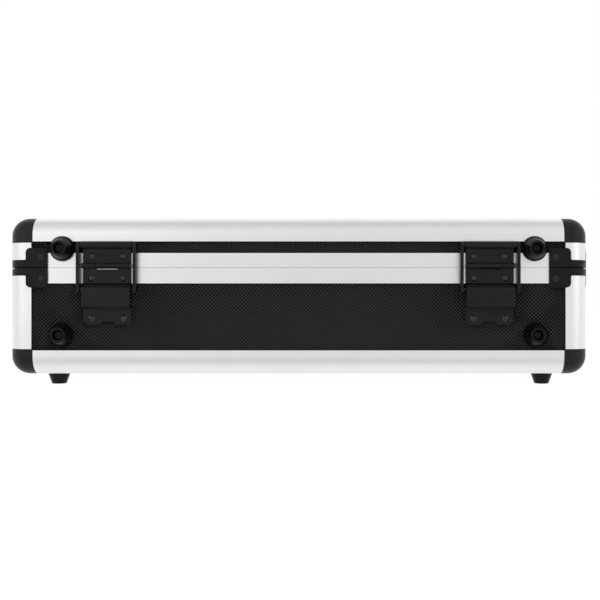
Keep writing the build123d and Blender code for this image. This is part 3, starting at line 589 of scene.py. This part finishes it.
class CASE_OT_boards(bpy.types.Operator):
    """Replace the plain boards with laminated ones embossed with small diamonds"""

    bl_idname = "case.boards"
    bl_label = "Embossed Boards"

    def execute(self, context):
        settings = context.scene.case_boards
        colour = context.scene.case_finish.laminate
        laminate = finish(
            "Embossed Laminate", colour, lighter(colour, 0.002), roughness=(0.22, 0.32),
            grain=(1800,) * 3, height=0.00001, specular=0.05, marks=22.0,
        )
        self.polish_tips(laminate)
        for body, flat in (("base", "bottom"), ("lid", "top")):
            for part, facings in ((f"{flat}_panel", [flat]), ("front_panel", ["front"]),
                                  ("back_panel", ["back"]), ("side_panels", ["left", "right"])):
                node = f"{body}_{part}"
                bm = boards_for(node, facings, settings)
                add_piece(f"{body}_{part}_embossed", bm, laminate, body, "black_laminate", node)
        return {"FINISHED"}

    def polish_tips(self, laminate):
        """Polish the tips of the diamonds, which get rubbed, and leave the valleys dull."""
        tree = laminate.node_tree
        shader = tree.nodes["Principled BSDF"]
        raised = tree.nodes.new("ShaderNodeAttribute")
        raised.attribute_name = "Raised"
        tips = ranged(tree, raised.outputs["Fac"], *TIP_FADE)
        tree.links.new(tips, shader.inputs["Coat Weight"])
        shader.inputs["Coat Roughness"].default_value = TIP_ROUGHNESS


class CASE_OT_frame(bpy.types.Operator):
    """Finish the edge extrusions, posts and valances as aluminium drawn lengthwise"""

    bl_idname = "case.frame"
    bl_label = "Aluminium Frame"

    def execute(self, context):
        colour = context.scene.case_finish.aluminium
        long_way, cross_way = 14.0, 2600.0
        directions = (
            ("Width", 0, ("long_edges", "long_valances")),
            ("Depth", 1, ("short_edges", "short_valances")),
            ("Height", 2, ("corner_posts",)),
        )
        for name, axis, parts in directions:
            grain = [cross_way] * 3
            grain[axis] = long_way
            metal = finish(
                f"Anodised Aluminium {name}", colour, dimmed(colour, 0.95), roughness=(0.33, 0.43),
                grain=grain, height=0.000012, metallic=0.85, marks=9.0, detail=1.0,
            )
            # painted shade: black laid on the metal in the gaps between the clamps and under the
            # hinge knuckles
            self.paint_gap_shade(metal)
            paint([f"{body}_{part}" for body in ("base", "lid") for part in parts], metal)
        return {"FINISHED"}

    def paint_gap_shade(self, metal):
        """Put the painted gap shade, black where shade falls in the gaps, between the metal's
        colour and its shader.
        """
        tree = metal.node_tree
        socket = tree.nodes["Principled BSDF"].inputs["Base Color"]
        shade = effect(tree, painted_gap_shade(), place_on(tree), {})
        tree.links.new(socket.links[0].from_socket, shade.inputs["Color"])
        tree.links.new(shade.outputs["Color"], socket)


class CASE_OT_corners(bpy.types.Operator):
    """Finish the ball corners as grained black mouldings"""

    bl_idname = "case.corners"
    bl_label = "Ball Corners"

    def execute(self, context):
        colour = context.scene.case_finish.plastic
        moulded = finish(
            "Moulded Corner", colour, lighter(colour, 0.004), roughness=(0.34, 0.46),
            grain=(1500,) * 3, height=0.00003, specular=0.25,
        )
        paint(["base_ball_corners", "lid_ball_corners"], moulded)
        return {"FINISHED"}


class CASE_OT_hardware(bpy.types.Operator):
    """Finish the clamps, hinges, stays and latches in black powder coat, with rivets and pins"""

    bl_idname = "case.hardware"
    bl_label = "Black Hardware"

    def execute(self, context):
        settings = context.scene.case_finish
        colour, steel = settings.hardware, settings.steel
        dusty, worn = lighter(colour, 0.004), lighter(colour, 0.002)
        powder = {"grain": (1100,) * 3, "height": 0.00003, "marks": 45.0, "detail": 3.0}
        coat = finish(
            "Powder Coat", colour, dusty, roughness=(0.36, 0.48), specular=0.22, **powder
        )
        clamp = finish(
            "Clamp Coat", colour, dusty, roughness=(0.34, 0.46), specular=0.16, **powder
        )
        head = {"roughness": (0.22, 0.3), "grain": (1400,) * 3, "height": 0.00001, "marks": 120.0}
        rivet = finish("Coated Rivet", worn, lighter(colour, 0.008), specular=0.5, **head)
        clamp_rivet = finish("Clamp Rivet", worn, lighter(colour, 0.006), specular=0.32, **head)
        pin = finish(
            "Dark Pin", steel, lighter(steel, 0.1), roughness=(0.3, 0.42), grain=(90, 2400, 2400),
            height=0.00001, metallic=1.0, marks=60.0,
        )
        clamps = ["base_corner_clamps", "lid_corner_clamps"]
        sheets = starting(
            "hinge_base_plate", "hinge_lid_leaf", "latch_plate", "latch_lever", "latch_claw",
            "latch_strikes", "stay_left", "stay_right", "handle_brackets",
        )
        paint(clamps, clamp)
        paint(sheets, coat)
        paint([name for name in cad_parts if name.endswith("rivets")], rivet)
        paint(["base_clamp_rivets", "lid_clamp_rivets"], clamp_rivet)
        paint(starting("hinge_pin", "stay_pins", "claw_pin", "handle_pins"), pin)
        soften(clamps + sheets, settings.edge_round)
        return {"FINISHED"}


class CASE_OT_locks(bpy.types.Operator):
    """Finish the two lock cylinders in bright plating"""

    bl_idname = "case.locks"
    bl_label = "Lock Cylinders"

    def execute(self, context):
        colour = context.scene.case_finish.chrome
        plating = finish(
            "Plated Lock", colour, dimmed(colour, 0.9), roughness=(0.12, 0.2), grain=(900,) * 3,
            height=0.000005, metallic=1.0, marks=150.0,
        )
        paint(["lock_cylinder_left", "lock_cylinder_right"], plating)
        return {"FINISHED"}


class CASE_OT_feet(bpy.types.Operator):
    """Finish the rubber feet and the screws in them"""

    bl_idname = "case.feet"
    bl_label = "Rubber Feet"

    def execute(self, context):
        colour = context.scene.case_finish.rubber
        rubber = finish(
            "Black Rubber", colour, lighter(colour, 0.002), roughness=(0.3, 0.42),
            grain=(1600,) * 3, height=0.00003, specular=0.16, marks=80.0,
        )
        screw = finish(
            "Oxide Screw", lighter(colour, 0.004), lighter(colour, 0.012), roughness=(0.3, 0.45),
            grain=(1200,) * 3, height=0.00001, metallic=0.8, marks=150.0,
        )
        paint(["bottom_feet", "base_back_feet", "lid_back_feet"], rubber)
        paint(["base_foot_screws", "lid_foot_screws"], screw)
        return {"FINISHED"}


class CASE_OT_handle(bpy.types.Operator):
    """Finish the carrying handle as a grained moulding"""

    bl_idname = "case.handle"
    bl_label = "Carrying Handle"

    def execute(self, context):
        colour = context.scene.case_finish.plastic
        grip = finish(
            "Handle Grip", colour, lighter(colour, 0.015), roughness=(0.45, 0.6),
            grain=(900,) * 3, height=0.00007, specular=0.4, detail=3.0,
        )
        paint(["handle"], grip)
        return {"FINISHED"}


class CASE_OT_foam(bpy.types.Operator):
    """Line the base with a pocketed foam insert and the lid with a bumped foam pad"""

    bl_idname = "case.foam"
    bl_label = "Foam Lining"

    def execute(self, context):
        settings = context.scene.case_foam
        colour = context.scene.case_finish.foam
        foam = finish(
            "Cut Foam", colour, lighter(colour, 0.02), roughness=(0.85, 1.0), height=0.0004,
            specular=0.2, marks=40.0, sheen=0.3, cells=850.0,
        )
        self.line_base(settings, foam)
        self.line_lid(settings, foam)
        return {"FINISHED"}

    def line_base(self, settings, foam):
        """The insert: the CAD block's pockets and wells with soft lips and an uneven surface."""
        low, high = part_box("base_foam")
        bm = remeshed("base_foam", settings.skin_size, settings.lip_steps)
        bm.normal_update()
        for vertex in bm.verts:
            vertex.co += vertex.normal * settings.swell * noise.noise(vertex.co * SWELLS)
        keep_inside(bm, low, high)
        for face in bm.faces:
            face.smooth = True
        insert = add_piece("base_foam_insert", bm, foam, "base", "black_foam", "base_foam")

    def line_lid(self, settings, foam):
        """The pad: rows of round bumps facing the microphones, and a flat back on the lid."""
        low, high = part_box("lid_foam")
        size, middle = high - low, (low + high) / 2
        step = settings.bump_pitch / FACES_PER_BUMP
        columns, rows = round(size.x / step), round(size.y / step)
        bm = bmesh.new()
        bmesh.ops.create_grid(bm, x_segments=columns, y_segments=rows, size=0.5)
        bmesh.ops.scale(bm, vec=(size.x, size.y, 1), verts=bm.verts)
        rim = [edge for edge in bm.edges if edge.is_boundary]
        turn = 2 * math.pi / settings.bump_pitch
        for vertex in bm.verts:
            x, y = vertex.co.x, vertex.co.y
            wave = 0.5 + 0.5 * math.cos(turn * x) * math.cos(turn * y)
            vertex.co.z = -settings.bump_depth * (1 - wave)
        close_below(bm, rim, -size.z)
        over = Matrix.Rotation(math.pi, 3, "X")
        bmesh.ops.rotate(bm, verts=bm.verts, cent=(0, 0, 0), matrix=over)
        bmesh.ops.translate(bm, verts=bm.verts, vec=(middle.x, middle.y, low.z))
        bmesh.ops.recalc_face_normals(bm, faces=bm.faces)
        for face in bm.faces:
            face.smooth = len(face.verts) == 4
        pad = add_piece("lid_foam_pad", bm, foam, "lid", "black_foam", "lid_foam")


# ---- stage ------------------------------------------------------------------------------------
def seen_rays(tree, shiny_share, share):
    """Mix factor for a background: a share of camera rays, and a share of that for reflections."""
    path = tree.nodes.new("ShaderNodeLightPath").outputs
    seen = maths(
        tree, "MULTIPLY_ADD", path["Is Glossy Ray"], shiny_share, path["Is Camera Ray"], clamp=True
    )
    return maths(tree, "MULTIPLY", seen, share)


def end_with(tree, end, share, lit, shown):
    """Lead a lit surface, and a share of the plain one that is shown for it, to an end node."""
    mix = tree.nodes.new("ShaderNodeMixShader")
    fill_in(tree, mix, (share, lit.outputs[0], shown.outputs[0]))
    tree.links.new(mix.outputs[0], tree.nodes[end].inputs["Surface"])


class CASE_OT_stage(bpy.types.Operator):
    """Set up the camera behind the case, the lamps, the sky and the floor"""

    bl_idname = "case.stage"
    bl_label = "Stage"

    def execute(self, context):
        settings = context.scene.case_stage
        context.scene.view_settings.view_transform = "Standard"
        self.add_camera(context.scene, settings)
        self.add_sky(context.scene, settings)
        self.add_floor(context.scene, settings)
        self.add_lamps(context.scene, settings)
        return {"FINISHED"}

    def add_camera(self, scene, settings):
        """Camera behind the case, level and square to it, with the case off the lens's axis."""
        data = bpy.data.cameras.new("Camera")
        data.lens = settings.lens
        data.sensor_width = 36.0
        data.shift_x, data.shift_y = LENS_SHIFT
        data.clip_start, data.clip_end = 0.01, 50.0
        camera = bpy.data.objects.new("Camera", data)
        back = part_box("base_long_edges")[1].y
        camera.location = (settings.camera_side, back + settings.distance, settings.camera_height)
        camera.rotation_euler = (math.pi / 2, 0, math.pi)
        scene.collection.objects.link(camera)
        scene.camera = camera

    def add_lamps(self, scene, settings):
        """Rectangular soft lamps, all aimed at the case."""
        for name, place, (width, height), power in LAMPS:
            data = bpy.data.lights.new(name, "AREA")
            data.shape = "RECTANGLE"
            data.size, data.size_y, data.energy = width, height, getattr(settings, power)
            lamp = bpy.data.objects.new(name, data)
            lamp.location = place
            lamp.rotation_euler = (LAMP_AIM - Vector(place)).to_track_quat("-Z", "Y").to_euler()
            scene.collection.objects.link(lamp)

    def add_sky(self, scene, settings):
        """A soft sky, brightest on the latch side, darker overhead and white to the camera."""
        world = bpy.data.worlds.new("Studio")
        scene.world = world
        world.use_nodes = True
        tree = world.node_tree
        sky = tree.nodes["Background"]
        white = tree.nodes.new("ShaderNodeBackground")
        for plain in (sky, white):
            plain.inputs["Color"].default_value = (1, 1, 1, 1)
        way = parted(tree, tree.nodes.new("ShaderNodeTexCoord").outputs["Generated"])
        level = ranged(tree, way["Y"], -1.0, 1.0, settings.sky_front, settings.sky_back)
        roof = ranged(tree, way["Z"], ROOF_DIP_START, 1.0, 0.0, settings.roof_dip)
        lens = ranged(tree, way["Y"], LENS_DIP_START, 1.0, 0.0, settings.lens_dip)
        tree.links.new(joined(tree, "SUBTRACT", [level, roof, lens]), sky.inputs["Strength"])
        shiny_share = ranged(tree, way["Y"], -1.0, 0.0, 1.0, 0.0)
        end_with(tree, "World Output", seen_rays(tree, shiny_share, 1.0), sky, white)

    def add_floor(self, scene, settings):
        """A round pale floor that keeps a soft shadow and reads as white, with a painted
        reflection: in reflections the shadowed floor under the case shows plain white.
        """
        bm = bmesh.new()
        bmesh.ops.create_circle(bm, cap_ends=True, segments=64, radius=FLOOR_RADIUS)
        mesh = bpy.data.meshes.new("floor")
        bm.to_mesh(mesh)
        bm.free()
        material = bpy.data.materials.new("Pale Floor")
        material.use_nodes = True
        tree = material.node_tree
        shader = tree.nodes["Principled BSDF"]
        shader.inputs["Base Color"].default_value = (*settings.floor_colour, 1)
        shader.inputs["Roughness"].default_value = 0.9
        shader.inputs["Specular IOR Level"].default_value = 0.1
        white = tree.nodes.new("ShaderNodeEmission")
        white.inputs["Strength"].default_value = 1.05
        place = place_on(tree)
        share = ranged(tree, vector_maths(tree, "LENGTH", place), *WHITE_SEEN)
        back = parted(tree, place)["Y"]
        # painted reflection: reflections see the shadowed floor under the case as plain white,
        # fading just behind the back edge
        shiny_share = joined(tree, "ADD", [ranged(tree, back, *PAINTED_WHITE_UNDER),
                                           ranged(tree, back, *WHITE_BEHIND)])
        end_with(tree, "Material Output", seen_rays(tree, shiny_share, share), shader, white)
        mesh.materials.append(material)
        floor = bpy.data.objects.new("floor", mesh)
        scene.collection.objects.link(floor)


# ---- panel and registration -------------------------------------------------------------------
OPERATORS = (
    CASE_OT_stage, CASE_OT_boards, CASE_OT_frame, CASE_OT_corners, CASE_OT_hardware, CASE_OT_locks,
    CASE_OT_feet, CASE_OT_handle, CASE_OT_foam,
)
SETTINGS = {
    "case_stage": CaseStageSettings,
    "case_finish": CaseFinishSettings,
    "case_boards": CaseBoardSettings,
    "case_foam": CaseFoamSettings,
}


class CASE_PT_sidebar(bpy.types.Panel):
    """Settings and steps of the microphone case"""

    bl_label = "Microphone Case"
    bl_space_type = "VIEW_3D"
    bl_region_type = "UI"
    bl_category = "Microphone Case"

    def draw(self, context):
        for name, group in SETTINGS.items():
            box = self.layout.box()
            for prop in group.__annotations__:
                box.prop(getattr(context.scene, name), prop)
        for operator in OPERATORS:
            self.layout.operator(operator.bl_idname)


CLASSES = (*SETTINGS.values(), *OPERATORS, CASE_PT_sidebar)


def register():
    for made in CLASSES:
        bpy.utils.register_class(made)
    for name, group in SETTINGS.items():
        setattr(bpy.types.Scene, name, PointerProperty(type=group))


def unregister():
    for name in SETTINGS:
        delattr(bpy.types.Scene, name)
    for made in reversed(CLASSES):
        bpy.utils.unregister_class(made)


def main():
    register()
    steps = ("stage", "boards", "frame", "corners", "hardware", "locks", "feet", "handle", "foam")
    for step in steps:
        getattr(bpy.ops.case, step)()


if __name__ == "__main__":
    main()
